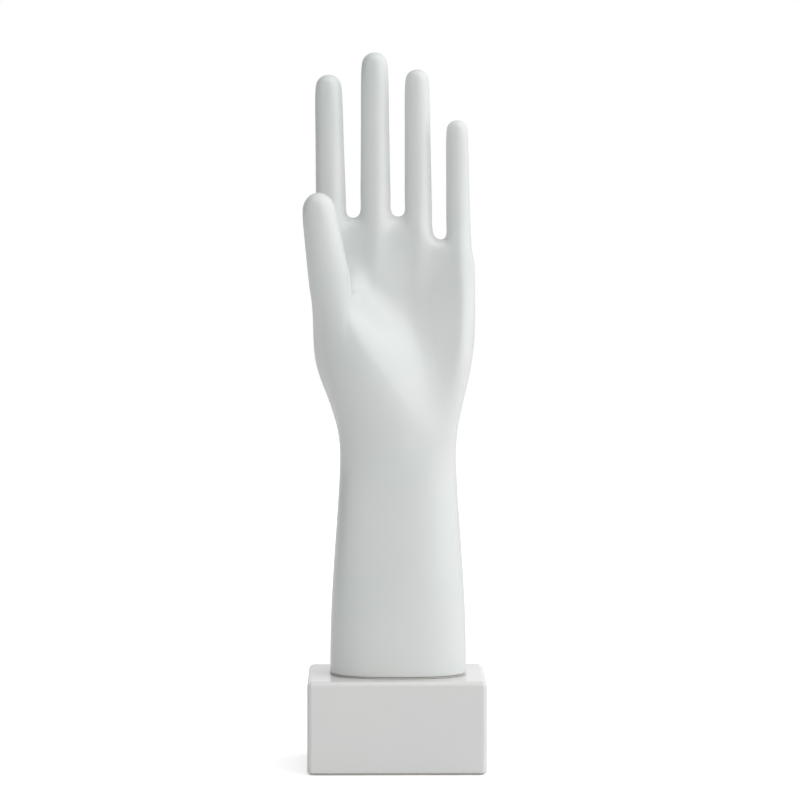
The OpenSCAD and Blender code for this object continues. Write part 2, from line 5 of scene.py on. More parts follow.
import bpy
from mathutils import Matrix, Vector


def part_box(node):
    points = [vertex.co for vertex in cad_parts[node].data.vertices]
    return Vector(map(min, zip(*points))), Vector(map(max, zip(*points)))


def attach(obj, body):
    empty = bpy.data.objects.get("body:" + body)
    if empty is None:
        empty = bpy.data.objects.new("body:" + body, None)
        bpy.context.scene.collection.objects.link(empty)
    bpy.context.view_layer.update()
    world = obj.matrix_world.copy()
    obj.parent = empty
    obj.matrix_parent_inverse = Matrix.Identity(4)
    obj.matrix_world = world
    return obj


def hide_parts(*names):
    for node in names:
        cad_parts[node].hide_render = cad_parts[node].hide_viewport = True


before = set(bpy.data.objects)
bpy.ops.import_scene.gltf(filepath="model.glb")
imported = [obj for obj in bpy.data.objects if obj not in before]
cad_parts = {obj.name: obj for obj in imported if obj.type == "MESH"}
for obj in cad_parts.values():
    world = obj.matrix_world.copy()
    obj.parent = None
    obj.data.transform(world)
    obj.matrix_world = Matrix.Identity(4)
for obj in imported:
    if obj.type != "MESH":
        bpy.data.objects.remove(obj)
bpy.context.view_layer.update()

# Millimetres to metres: the hand's sizes are written in millimetres, as on its drawing
MM = 0.001

# Places that the CAD part fixes
HAND_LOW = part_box("hand")[0]
PLINTH_LOW, PLINTH_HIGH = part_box("plinth")
FOOT_Z = HAND_LOW.z / MM

# Forearm and palm
FOOT_W = 78.2
FOOT_D = 54.0
FOREARM_H = 128.1
FOREARM_CURVE = 1.25
FOREARM_ROUNDNESS = 2.5
WRIST_W = 66.2
WRIST_D = 43.0
PALM_H = 124.0
PALM_W = 93.6
PALM_T = 22.0
PALM_RISE = 71.0
PALM_ROUNDNESS = 2.4
# How much of the palm's thickness lies before and behind its middle
PALM_FRONT = 0.41
PALM_BACK = 0.59
ARM_X = 0.9
PALM_X = -1.0
WRIST_Z = FOOT_Z + FOREARM_H
KNUCKLE_Z = WRIST_Z + PALM_H
PALM_LEFT = PALM_X - PALM_W / 2
PALM_RIGHT = PALM_X + PALM_W / 2

# Cast wall, rim, pour hole and the foot's edge
CAST_WALL = 5.0
RIM_Z = FOOT_Z + 8.0
RIM_ROUND = 4.0
POUR_R = 13.0
SEAT_R = 19.0
HOLE_EDGE = 1.0
FOOT_LAND = 6.0
FOOT_EDGE = 1.5

# Fingers from the index to the little one
FINGER_L = [88.8, 99.4, 93.8, 73.0]
FINGER_T = [16.5, 16.5, 15.0, 13.3]
SIDE_GAP = [2.4, 3.6]
FINGER_LEAN = 5.5
FINGER_Y = 1.5
TIP_DRIFT = [-1.5, -0.6, -1.0, -1.2]
ROOT_RISE = [0.7, 2.7, -1.3, -9.3]
ROOT_SLOPE = [3.0, 0.0, -9.0, -2.0]
ROOT_EDGE = [[0, 0, 3], [2, 0, 2], [5, 2, -5], [1, -1, -1]]
WEB_RISE = [9.9, 10.9, -2.9]
ROOT_TAPER = 1.07
TIP_TAPER = 0.93
FINGER_SIDES = 8
FINGER_ROWS = [0.13, 0.3, 0.5, 0.7]
TIP_ANGLES = [0, 34, 64]
# A fingertip, in radii of the finger: how wide its control points lie, how far its centre lies below its top,
# and how far its crown point lies above that centre
TIP_WIDE = 1.03
TIP_SHORT = 0.98
CROWN_RISE = 1.05
# A finger's lowest ring is lifted, more beside a web, and the lift dies away with this power
ROOT_LIFT = 6.0
WEB_LIFT = 3.0
ROOT_FADE = 6
# Knuckles: how deep a finger's root lies at its middle (True) and corners (False), in palm thicknesses
KNUCKLE_FRONT = {True: -0.4, False: -0.3}
KNUCKLE_BACK = {True: 0.55, False: 0.46}
KNUCKLE_RIGHT_IN = 1.6
KNUCKLE_RIGHT_DROP = 3.0

# The upper edge of the thumb's mound
MOUND_X = PALM_LEFT + 25.8
MOUND_Z = WRIST_Z + 43.7
MOUND_W = 41.0
MOUND_H = 42.0
# The least that stays under the root where the arch of this edge ends
MOUND_END = 0.001
THUMB_RISE = 4.0
THUMB_RISE_X = PALM_LEFT + 20.8
THUMB_RISE_W = 10.0
# Crest of the mound from the thumb to the wrist: across, height, how far forward, and how far to the crease
CREST = [(14, 81, 31, 16), (22, 66, 31, 19), (32, 49, 30, 25), (42, 32, 28, 29), (50, 13, 24, 30)]
CREST_ROUND = 20.0
CREASE_DROP = 20.0
LEFT_DROP = 7.0
CREASE_SOFT = 4.0
MOUND_SQUARENESS = 4

# The hollow of the palm, the heel beside it, the swell of the left side and the ribs at the fingers' roots
HOLLOW_D = 9.0
HOLLOW_X = PALM_X + 10
HOLLOW_Z = WRIST_Z + 84
HOLLOW_W = 26.0
HOLLOW_H = 27.0
HEEL_D = 5.0
HEEL_X = PALM_RIGHT - 8
HEEL_Z = WRIST_Z + 58.7
HEEL_W = 8.0
HEEL_H = 48.0
SWELL_D = 4.2
SWELL_Z = WRIST_Z + 56
SWELL_H = 20.0
ROOT_RIB = 1.2

# Thumb
THUMB_H = 146.5
THUMB_T = 21.4
THUMB_REACH = 38.0
THUMB_ROOT_X = 11.9
THUMB_ROOT_Y = -20.5
THUMB_ROOT_Z = 81.2
THUMB_TIP_X = 4.0
THUMB_TILT = [38, 22, 14, 8, 4]
THUMB_LEAN = [28, 15, 8, 6, 6]
THUMB_TAPER = [1.2, 1.14, 1.04, 0.97, 0.9]
# Places between the thumb's root and tip: share of the way, and how far the thumb bows off the straight line
THUMB_BOW = [(0.24, (0.2, -1, 0)), (0.48, (0, -2.5, 0)), (0.73, (0, -2, 0))]
THUMB_SIDES = 12
THUMB_START = 225
# The thumb's tip: its radius as a share of the thumb's width, then its control points in those radii
THUMB_TIP_SHARE = 0.45
THUMB_TIP_WIDE = 1.05
THUMB_TIP_TALL = 1.03
THUMB_CROWN = 0.24

# The block-out: columns across the hand, lanes from front to back, and rows upwards.
# The rows start at the top of the hollow inside, run down to the foot and up the outside.
COLUMNS = 12
RING = 2 * COLUMNS + 2
ARM_LEVELS = [0, 0.015, 0.16, 0.35, 0.56, 0.76, 0.9, 1]
PALM_LEVELS = [0.1, 0.2, 0.304, 0.409, 0.514, 0.619, 0.723, 0.869]
# The palm's columns move from even to finger spacing above this height over the wrist, and over this span
SPREAD_FROM = 12.0
SPREAD_H = 78.0
OUTER_COLUMN = 0.93
# Rows that bend to follow the mound, how far across they follow its edge, and where the bend dies away
FIRST_BENT = 1
LAST_BENT = 6
BENT_W = 36.0
BEND_FADE_X = 34.0
BEND_FADE_W = 12.0
BENT_DROP = [0, 45, 30, 17, 6, -4, -4]
BENT_SHARE = [0, 0.6, 0.9, 1, 1, 1, 0.55]
FIRST_ROOT = 3
INNER_LEVELS = [0.44, 0.33, 0.2, 0]
INNER_ARM_LEVELS = [0.76, 0.45, 0.2]
# How far each round of the thumb is set apart in the block-out, in columns
THUMB_STEP = 20
# Which point of the thumb's root ring each point of the palm's rings is, by ring point and row
ROOT_SLOT = [[0, 11, 10, 9], [1, None, None, 8], [2, None, None, 7], [3, 4, 5, 6]]
CROWN_SLOT = {(1, 1): 0, (2, 1): 1, (2, 2): 2, (1, 2): 3}
# Which point of a finger's ring each column and lane is
FINGER_SLOT = {(0, 1): 0, (0, 0): 1, (1, 0): 2, (2, 0): 3, (2, 1): 4, (2, 2): 5, (1, 2): 6, (0, 2): 7}
# The thumb grows out of this many columns, from faces that lie before this lane
ROOT_COLUMNS = 2
ROOT_LANE = 0.75
# The slack with which the top row's faces are picked
ROW_SLACK = 0.1


# Small helpers for sizes
def held(t):
    """Keeps a share from 0 to 1."""
    return min(1.0, max(0.0, t))


def ease(t):
    share = held(t)
    return share * share * (3 - 2 * share)


def mix(a, b, t):
    return a + (b - a) * t


def bump(t):
    return math.exp(-t * t)


def smooth_max(a, b, width):
    share = held(0.5 + (a - b) / (2 * width))
    return mix(b, a, share) + width * share * (1 - share)


def grow(sides):
    """How many times further out a ring's control points lie than the smoothed ring they make."""
    return 6 / (4 + 2 * math.cos(2 * math.pi / sides))


# Widths and depths of the forearm and the palm at a height
def arm_share(z):
    return ease(held((z - FOOT_Z) / FOREARM_H) ** FOREARM_CURVE)


def palm_share(z):
    return ease((z - WRIST_Z) / PALM_RISE)


def thin_share(z):
    return ease((z - WRIST_Z) / PALM_H)


def finger_share(z):
    return ease((z - WRIST_Z - SPREAD_FROM) / SPREAD_H)


def middle_x(z):
    return mix(ARM_X, PALM_X, palm_share(z))


def half_w(z):
    return mix(mix(FOOT_W, WRIST_W, arm_share(z)), PALM_W, palm_share(z)) / 2


def arm_d(z):
    return mix(FOOT_D, WRIST_D, arm_share(z)) / 2


def front_d(z):
    return mix(arm_d(z), PALM_T * PALM_FRONT, thin_share(z))


def back_d(z):
    return mix(arm_d(z), PALM_T * PALM_BACK, thin_share(z))


def roundness(z):
    return mix(FOREARM_ROUNDNESS, PALM_ROUNDNESS, palm_share(z))


def side(share, power):
    """How deep a rounded section is at a share of its half width."""
    return max(0.0, 1 - abs(share) ** power) ** (1 / power)


# Columns: spread evenly round the forearm, and three to each finger in the palm
FINGER_GAP = (PALM_W - sum(SIDE_GAP) - sum(FINGER_T)) / 3
FINGER_X = [
    PALM_LEFT + SIDE_GAP[0] + FINGER_T[0] / 2,
    PALM_LEFT + SIDE_GAP[0] + FINGER_T[0] + FINGER_GAP + FINGER_T[1] / 2,
    PALM_RIGHT - SIDE_GAP[1] - FINGER_T[3] - FINGER_GAP - FINGER_T[2] / 2,
    PALM_RIGHT - SIDE_GAP[1] - FINGER_T[3] / 2,
]


def even_share(column):
    return -math.cos((column + 1) * math.pi / (COLUMNS + 1))


def net_half_w(z):
    """The smoothed side lies two thirds at its own control point and a third at the outer columns."""
    return half_w(z) / (2 / 3 + mix(-even_share(0), OUTER_COLUMN, finger_share(z)) / 3)


def corner_x(column):
    finger = column // 3
    reach = grow(FINGER_SIDES) * FINGER_T[finger] / 2 * math.cos(math.pi / 4)
    return FINGER_X[finger] + (column % 3 - 1) * reach


def column_x(column, z):
    return mix(middle_x(z) + even_share(column) * net_half_w(z), corner_x(column), finger_share(z))


# The thumb's mound and the relief of the palm
def mound_rise(x):
    across = (max(x, MOUND_X) - MOUND_X) / MOUND_W
    arch = math.sqrt(max(MOUND_END, 1 - across * across))
    return MOUND_H * arch + THUMB_RISE * bump((x - THUMB_RISE_X) / THUMB_RISE_W)


def crest_at(x, z):
    """The nearest place on the crest: how far off, positive towards the fingers, its reach and its width."""
    nearest = None
    for start, end in zip(CREST, CREST[1:]):
        along = Vector((end[0] - start[0], end[1] - start[1]))
        away = Vector((x - PALM_LEFT - start[0], z - WRIST_Z - start[1]))
        share = held(away.dot(along) / along.length_squared)
        distance = (away - share * along).length
        side_of_crest = 1 if along.x * away.y - along.y * away.x > 0 else -1
        if nearest is None or distance < abs(nearest[0]):
            nearest = (side_of_crest * distance, mix(start[2], end[2], share), mix(start[3], end[3], share))
    return nearest


def mound_front(x, z):
    distance, reach, width = crest_at(x, z)
    if distance > 0:
        fall = math.hypot(distance, CREST_ROUND) - CREST_ROUND
        return reach - CREASE_DROP * fall / (width - CREST_ROUND / 2)
    return reach - LEFT_DROP * (distance / width) ** 2


def palm_relief(x, z):
    heel = HEEL_D * bump((x - HEEL_X) / HEEL_W) * bump((z - HEEL_Z) / HEEL_H)
    hollow = HOLLOW_D * bump((x - HOLLOW_X) / HOLLOW_W) * bump((z - HOLLOW_Z) / HOLLOW_H)
    return heel - hollow


def side_share(x, z):
    return (x - middle_x(z)) / net_half_w(z)


def front_y(x, z):
    skin = front_d(z) * side(side_share(x, z), roundness(z)) + palm_relief(x, z)
    return -smooth_max(skin, mound_front(x, z) * side(side_share(x, z), MOUND_SQUARENESS), CREASE_SOFT)


def back_y(x, z):
    return back_d(z) * side(side_share(x, z), roundness(z))


# Rows of the palm bend to follow the upper edge of the mound
def row_z(row):
    return WRIST_Z + PALM_H * PALM_LEVELS[row]


def bent_z(row, x):
    edge = MOUND_Z + mound_rise(min(x, MOUND_X + BENT_W))
    flat_row = row + 1 if row == LAST_BENT else row
    return mix(row_z(flat_row), edge - BENT_DROP[row], BENT_SHARE[row])


def front_row_z(row, x):
    if row < FIRST_BENT or row > LAST_BENT:
        return row_z(row)
    bend = 1 - ease((x - MOUND_X - BEND_FADE_X) / BEND_FADE_W)
    return mix(row_z(row), bent_z(row, x), bend)


# The thumb's middle line and its rings
THUMB_ROOT = Vector((PALM_LEFT + THUMB_ROOT_X, THUMB_ROOT_Y, WRIST_Z + THUMB_ROOT_Z))
THUMB_TIP_R = THUMB_T * THUMB_TIP_SHARE
THUMB_TIP = Vector((PALM_LEFT + THUMB_TIP_X, -THUMB_REACH, WRIST_Z + THUMB_H - THUMB_TIP_R))
THUMB_PATH = [
    THUMB_ROOT,
    *[mix(THUMB_ROOT, THUMB_TIP, share) + Vector(bow) for share, bow in THUMB_BOW],
    THUMB_TIP,
]


def thumb_ring(centre, tilt, lean, radius, up=0.0):
    """Points round the thumb, tilted forward and leaning sideways by degrees."""
    tilt, lean = math.radians(tilt), math.radians(lean)
    along = Vector((-math.sin(lean), -math.sin(tilt) * math.cos(lean), math.cos(tilt) * math.cos(lean)))
    across = (Vector((1, 0, 0)) - along.x * along).normalized()
    behind = along.cross(across)
    angles = [math.radians(THUMB_START + 360 / THUMB_SIDES * i) for i in range(THUMB_SIDES)]
    return [centre + up * along + radius * (math.cos(a) * across + math.sin(a) * behind) for a in angles]


def thumb_ring_at(s):
    radius = grow(THUMB_SIDES) * THUMB_TAPER[s] * THUMB_T / 2
    return thumb_ring(THUMB_PATH[s], THUMB_TILT[s], THUMB_LEAN[s], radius)


def thumb_tip_ring(radius, up):
    return thumb_ring(THUMB_TIP, THUMB_TILT[-1], THUMB_LEAN[-1], radius, up)


def thumb_rings():
    rings = [thumb_ring_at(s) for s in range(1, len(THUMB_PATH) - 1)]
    for angle in TIP_ANGLES:
        rise = math.radians(angle)
        radius = THUMB_TIP_R * THUMB_TIP_WIDE * math.cos(rise)
        rings.append(thumb_tip_ring(radius, THUMB_TIP_R * THUMB_TIP_TALL * math.sin(rise)))
    return rings


# Fingers
def finger_r(finger, t):
    return FINGER_T[finger] / 2 * mix(ROOT_TAPER, TIP_TAPER, t)


def finger_mid_y(t):
    return FINGER_Y - FINGER_LEAN * t * t


def root_z(finger):
    return KNUCKLE_Z + ROOT_RISE[finger]


def tip_centre_z(finger):
    return root_z(finger) + FINGER_L[finger] - TIP_SHORT * finger_r(finger, 1)


def finger_centre(finger, t, z):
    return Vector((FINGER_X[finger] + TIP_DRIFT[finger] * t, finger_mid_y(t), z))


def finger_angle(i):
    """The direction of a ring's point, starting at the finger's left side."""
    return math.radians(180 + 360 / FINGER_SIDES * i)


def octagon(centre, radius):
    angles = [finger_angle(i) for i in range(FINGER_SIDES)]
    return [centre + radius * Vector((math.cos(a), math.sin(a), 0)) for a in angles]


def finger_ring(finger, t):
    fade = (1 - t) ** ROOT_FADE
    z = mix(root_z(finger), tip_centre_z(finger), t) + ROOT_LIFT * fade
    ring = octagon(finger_centre(finger, t, z), finger_r(finger, t) * grow(FINGER_SIDES))
    for i, point in enumerate(ring):
        web_on_left = i == 0 and finger > 0
        web_on_right = i == FINGER_SIDES // 2 and finger < len(FINGER_L) - 1
        tilt = ROOT_SLOPE[finger] * math.cos(finger_angle(i))
        point.z += fade * (tilt + (WEB_LIFT if web_on_left or web_on_right else 0))
    return ring


def finger_tip_ring(finger, angle):
    rise = math.radians(angle)
    radius = finger_r(finger, 1) * TIP_WIDE
    centre = finger_centre(finger, 1, tip_centre_z(finger) + radius * math.sin(rise))
    return octagon(centre, radius * grow(FINGER_SIDES) * math.cos(rise))


def finger_rings(finger):
    return [finger_ring(finger, t) for t in FINGER_ROWS] + [finger_tip_ring(finger, a) for a in TIP_ANGLES]


# Rings round the whole hand, from the left edge over the front and back again
def arm_ring(z):
    front = [Vector((column_x(k, z), front_y(column_x(k, z), z), z)) for k in range(COLUMNS)]
    back = [Vector((column_x(k, z), back_y(column_x(k, z), z), z)) for k in range(COLUMNS)]
    left = Vector((middle_x(z) - net_half_w(z), 0, z))
    right = Vector((middle_x(z) + net_half_w(z), 0, z))
    return [left, *front, right, *reversed(back)]


def left_swell(z):
    return SWELL_D * bump((z - SWELL_Z) / SWELL_H)


def rib(column, row):
    """The fingers' roots show in the upper palm as soft ribs, with shallow grooves between them."""
    return ROOT_RIB * (1 if column % 3 == 1 else -0.5) if row == len(PALM_LEVELS) - 1 else 0


def palm_ring(row):
    z = row_z(row)
    left_z = front_row_z(row, PALM_LEFT)
    ring = arm_ring(z)
    ring[0] = Vector((middle_x(left_z) - net_half_w(left_z) - left_swell(left_z), 0, left_z))
    for k in range(COLUMNS):
        x = column_x(k, z)
        height = front_row_z(row, x)
        ring[1 + k] = Vector((x, front_y(x, height) - rib(k, row), height))
    ring[RING - 1].x -= left_swell(z)
    if FIRST_ROOT <= row < FIRST_ROOT + len(ROOT_SLOT):
        root = thumb_ring_at(0)
        for j in range(len(ROOT_SLOT)):
            slot = ROOT_SLOT[j][row - FIRST_ROOT]
            if slot is not None:
                ring[j] = root[slot]
    return ring


def knuckle_ring():
    ring = [Vector((middle_x(KNUCKLE_Z) - net_half_w(KNUCKLE_Z), FINGER_Y, root_z(0)))]
    for j in range(1, RING):
        if j == COLUMNS + 1:
            ring.append(Vector((PALM_RIGHT - KNUCKLE_RIGHT_IN, FINGER_Y, root_z(3) - KNUCKLE_RIGHT_DROP)))
            continue
        on_front = j <= COLUMNS
        k = j - 1 if on_front else RING - 1 - j
        depth = (KNUCKLE_FRONT if on_front else KNUCKLE_BACK)[k % 3 == 1]
        ring.append(Vector((corner_x(k), PALM_T * depth, root_z(k // 3) + ROOT_EDGE[k // 3][k % 3])))
    return ring


# Rings of the hollow inside
def inset_ring(ring, z, wall):
    points = []
    for p in ring:
        away = Vector((p.x - middle_x(z), p.y))
        share = (away.length - wall) / away.length
        points.append(Vector((middle_x(z) + away.x * share, away.y * share, z)))
    return points


def foot_ring(wall):
    """The foot's outline, drawn in by a wall."""
    return inset_ring(arm_ring(FOOT_Z), FOOT_Z, wall)


def plain_ring(z):
    """The forearm's ring without the mound, which the hollow doesn't follow."""
    return [Vector((p.x, max(p.y, -front_d(z)) if p.y < 0 else p.y, z)) for p in arm_ring(z)]


def hole_ring(z, radius):
    angles = [2 * math.pi * j / RING for j in range(RING)]
    return [Vector((-radius * math.cos(a), -radius * math.sin(a), z)) for a in angles]


def hand_rings():
    """Every ring of the block-out, from the top of the hollow down to the foot and up to the knuckles."""
    inner = [WRIST_Z + PALM_H * t for t in INNER_LEVELS] + [FOOT_Z + FOREARM_H * t for t in INNER_ARM_LEVELS]
    return [
        *[inset_ring(plain_ring(z), z, CAST_WALL) for z in inner],
        *[inset_ring(plain_ring(RIM_Z), z, CAST_WALL) for z in (RIM_Z + RIM_ROUND, RIM_Z)],
        hole_ring(RIM_Z, SEAT_R),
        *[hole_ring(z, POUR_R) for z in (RIM_Z, RIM_Z - HOLE_EDGE, FOOT_Z + HOLE_EDGE, FOOT_Z)],
        *[foot_ring(wall) for wall in (FOOT_LAND, FOOT_EDGE)],
        *[arm_ring(FOOT_Z + FOREARM_H * t) for t in ARM_LEVELS],
        *[palm_ring(row) for row in range(len(PALM_LEVELS))],
        knuckle_ring(),
    ]


# Modelling helpers
ROUND_SIDES = 96
TINY = 0.01 * MM
# Least upright share of a normal that counts as facing up or down
FACING = 0.9
CRISP_ANGLE = math.radians(35)


def start_piece(name):
    """Names the primitive that was just added, and applies its place to its mesh."""
    piece = bpy.context.object
    piece.name = name
    piece.data.name = name
    bpy.ops.object.transform_apply(location=True, rotation=True, scale=True)
    return piece


def nothing_selected():
    bpy.ops.object.select_all(action="DESELECT")


def select_parts(piece, kind, test):
    """Enters edit mode with the faces or edges selected that pass the test."""
    bpy.ops.object.mode_set(mode="EDIT")
    bpy.ops.mesh.select_mode(type=kind)
    bpy.ops.mesh.select_all(action="DESELECT")
    bpy.ops.object.mode_set(mode="OBJECT")
    parts = piece.data.polygons if kind == "FACE" else piece.data.edges
    for part in parts:
        part.select = test(part)
    bpy.ops.object.mode_set(mode="EDIT")


def extrude(step, times=1):
    for _ in range(times):
        bpy.ops.mesh.extrude_region_move(TRANSFORM_OT_translate={"value": step})


def apply_modifier(piece, kind, **settings):
    modifier = piece.modifiers.new(kind.lower(), kind)
    for key, value in settings.items():
        setattr(modifier, key, value)
    bpy.context.view_layer.objects.active = piece
    bpy.ops.object.modifier_apply(modifier=modifier.name)


def close_open_edges(piece, closing):
    """Selects a mesh's open edges, closes them with an operator, and turns the faces outwards."""
    bpy.context.view_layer.objects.active = piece
    bpy.ops.object.mode_set(mode="EDIT")
    bpy.ops.mesh.select_mode(type="EDGE")
    bpy.ops.mesh.select_all(action="DESELECT")
    bpy.ops.mesh.select_non_manifold()
    closing()
    bpy.ops.mesh.select_all(action="SELECT")
    bpy.ops.mesh.normals_make_consistent(inside=False)
    bpy.ops.object.mode_set(mode="OBJECT")


def finish_piece(piece, slot, material, *nodes):
    """Gives a modelled piece its material, hangs it from the root and hides the CAD nodes that it stands for;
    the slot is not used.
    """
    piece.data.materials.clear()
    piece.data.materials.append(material)
    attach(piece, "root")
    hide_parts(*nodes)
    return piece


# The hand
HAND_SMOOTHING = 3


def thumb_root_row(top_row):
    """The lowest row of the block-out that the thumb grows out of."""
    return top_row - 1 - len(PALM_LEVELS) + FIRST_ROOT


def block_out_hand(top_row):
    """A grid of columns and lanes is drawn up row by row, and the fingers and thumb are drawn out of it."""
    nothing_selected()
    bpy.ops.mesh.primitive_grid_add(x_subdivisions=COLUMNS - 1, y_subdivisions=2, size=2)
    hand = start_piece("porcelain_hand")
    bpy.ops.object.mode_set(mode="EDIT")
    bpy.ops.mesh.select_all(action="SELECT")
    half = (COLUMNS - 1) / 2
    bpy.ops.transform.resize(value=(half, 1, 1), center_override=(0, 0, 0))
    bpy.ops.transform.translate(value=(half, 1, 0))
    extrude((0, 0, 1), top_row)
    select_parts(hand, "FACE", lambda face: face.center.z > top_row - ROW_SLACK and face.center.x % 3 < 2)
    extrude((0, 0, 1), len(FINGER_ROWS) + len(TIP_ANGLES))
    root_row = thumb_root_row(top_row)

    def at_root(face):
        in_rows = root_row < face.center.z < root_row + len(ROOT_SLOT) - 1
        return in_rows and face.center.y < ROOT_LANE and face.center.x < ROOT_COLUMNS

    select_parts(hand, "FACE", at_root)
    extrude((-THUMB_STEP, 0, 0), len(THUMB_PATH) - 2 + len(TIP_ANGLES))
    bpy.ops.object.mode_set(mode="OBJECT")
    return hand


def ring_index(column, lane):
    """Which point of a ring a column and lane is, or None inside the grid."""
    if lane == 0:
        return 1 + column
    if lane == 2:
        return RING - 1 - column
    return {0: 0, COLUMNS - 1: COLUMNS + 1}.get(column)


def web_point(column):
    """The crown of a fingertip, or a corner of the web between two fingers."""
    finger = column // 3
    if column % 3 == 1:
        return finger_centre(finger, 1, tip_centre_z(finger) + CROWN_RISE * finger_r(finger, 1))
    x = FINGER_X[finger] + (column % 3 - 1) * grow(FINGER_SIDES) * FINGER_T[finger] / 2
    web = finger if column % 3 == 2 else finger - 1
    return Vector((x, FINGER_Y, KNUCKLE_Z + WEB_RISE[web]))


def shape_hand(hand, rings):
    """Moves each point of the block-out to its place on the hand."""
    top_row = len(rings) - 1
    root_row = thumb_root_row(top_row)
    fingers = [finger_rings(finger) for finger in range(len(FINGER_L))]
    thumb = thumb_rings()
    crown = thumb_tip_ring(THUMB_TIP_R * THUMB_CROWN, THUMB_TIP_R * THUMB_TIP_TALL)
    for vertex in hand.data.vertices:
        round_out = max(0, round((1 - vertex.co.x) / THUMB_STEP))
        column = round(vertex.co.x) + THUMB_STEP * round_out
        lane, row = round(vertex.co.y), round(vertex.co.z)
        j = ring_index(column, lane)
        if round_out:
            slot = ROOT_SLOT[j][row - root_row]
            point = crown[3 * CROWN_SLOT[(j, row - root_row)]] if slot is None else thumb[round_out - 1][slot]
        elif row > top_row:
            slot = FINGER_SLOT.get((column % 3, lane))
            point = web_point(column) if slot is None else fingers[column // 3][row - top_row - 1][slot]
        elif j is not None:
            point = rings[row][j]
        elif row == top_row:
            point = web_point(column)
        else:
            point = (rings[0][1 + column] + rings[0][RING - 1 - column]) / 2
        vertex.co = point * MM


def make_hand(material):
    rings = hand_rings()
    hand = block_out_hand(len(rings) - 1)
    shape_hand(hand, rings)
    apply_modifier(hand, "SUBSURF", levels=HAND_SMOOTHING, render_levels=HAND_SMOOTHING)
    bpy.ops.object.shade_smooth()
    return finish_piece(hand, "glazed_porcelain", material, "hand")


# The plinth
PLINTH_EDGE = 3 * MM
PLINTH_FOOT_EDGE = 0.9 * MM
PLINTH_WALL = 7.5 * MM
PLINTH_TOP = 8 * MM
LEDGE_W = 3 * MM
EDGE_STEPS = 8


def rounded_block(name, low, high, edge, foot_edge=None):
    """A block with rounded upright edges, and with a rounded top and a finer foot edge if one is given."""
    nothing_selected()
    bpy.ops.mesh.primitive_cube_add(size=1, location=(low + high) / 2, scale=high - low)
    block = start_piece(name)

    def softened(mesh_edge):
        a, b = [block.data.vertices[i].co for i in mesh_edge.vertices]
        upright = abs(a.x - b.x) < TINY and abs(a.y - b.y) < TINY
        return upright or (foot_edge is not None and min(a.z, b.z) > high.z - TINY)

    select_parts(block, "EDGE", softened)
    bpy.ops.mesh.bevel(offset=edge, segments=EDGE_STEPS, affect="EDGES")
    if foot_edge is not None:
        bpy.ops.object.mode_set(mode="OBJECT")
        select_parts(block, "FACE", lambda face: face.normal.z < -FACING)
        bpy.ops.mesh.region_to_loop()
        bpy.ops.mesh.bevel(offset=foot_edge, segments=EDGE_STEPS // 2, affect="EDGES")
    bpy.ops.object.mode_set(mode="OBJECT")
    return block


def cut_out(piece, cutter):
    """Takes the cutter's shape out of a piece, and removes the cutter."""
    apply_modifier(piece, "BOOLEAN", operation="DIFFERENCE", object=cutter, solver="EXACT")
    bpy.data.objects.remove(cutter)


def drilled(piece, place, radius, depth):
    """Cuts a round hole through a piece."""
    nothing_selected()
    bpy.ops.mesh.primitive_cylinder_add(vertices=ROUND_SIDES, radius=radius, depth=depth, location=place)
    cut_out(piece, start_piece("drill"))


def shade_crisply(piece):
    """Flat faces stay flat in the light, and rounded edges stay round."""
    nothing_selected()
    piece.select_set(True)
    bpy.context.view_layer.objects.active = piece
    bpy.ops.object.shade_smooth_by_angle(angle=CRISP_ANGLE)
    apply_modifier(piece, "WEIGHTED_NORMAL", keep_sharp=True, weight=100)


def make_plinth(material):
    """A rounded block, hollowed from below for the board and the fixings."""
    board_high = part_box("base_board")[1]
    plinth = rounded_block("glazed_plinth", PLINTH_LOW, PLINTH_HIGH, PLINTH_EDGE, PLINTH_FOOT_EDGE)
    for wall, low_z, high_z in [
        (PLINTH_WALL - LEDGE_W, PLINTH_LOW.z - LEDGE_W, board_high.z),
        (PLINTH_WALL, board_high.z - LEDGE_W, PLINTH_HIGH.z - PLINTH_TOP),
    ]:
        low = Vector((PLINTH_LOW.x + wall, PLINTH_LOW.y + wall, low_z))
        high = Vector((PLINTH_HIGH.x - wall, PLINTH_HIGH.y - wall, high_z))
        cut_out(plinth, rounded_block("cutter", low, high, PLINTH_EDGE))
    drilled(plinth, (0, 0, PLINTH_HIGH.z), POUR_R * MM, 4 * PLINTH_TOP)
    shade_crisply(plinth)
    return finish_piece(plinth, "plinth_glaze", material, "plinth")


# The fixings, board and felt
THREAD_PITCH = 1 * MM
THREAD_DEPTH = 0.4 * MM
THREAD_STEPS = 5
THREAD_SIDES = 40
# The rod's end: its flat core and its thread's start as shares of the radius, its chamfer in thread depths
ROD_CORE = 0.5
ROD_SKIN = 0.6
ROD_CHAMFER = 2.5
ROD_HOLE_R = 3.15 * MM
SOFT_EDGE = 0.35 * MM
SOFT_STEPS = 4
RIM_STEPS = 3
FELT_EDGE = 0.4 * MM
# The gasket: how far inside the foot's outline its rims lie, its bulge past them, and the gap round its hole
GASKET_INSET = 0.2
GASKET_BULGE = 0.4
GASKET_HOLE_GAP = 1.5
GASKET_SMOOTHING = 2
BUSH_FLANGE = 2 * MM
BUSH_FIT = 0.6
BUSH_EDGE = 0.4 * MM
CUSHION_HOLE_R = (POUR_R + 0.5) * MM
CUSHION_EDGE = 0.6 * MM
WASHER_EDGE = 0.25 * MM
BAR_CORNER = 2 * MM
BAR_DRILL = 20 * MM
NUT_ANGLE = math.radians(30)
NUT_BORE_R = 3 * MM
NUT_MOUTH_R = 3.5 * MM


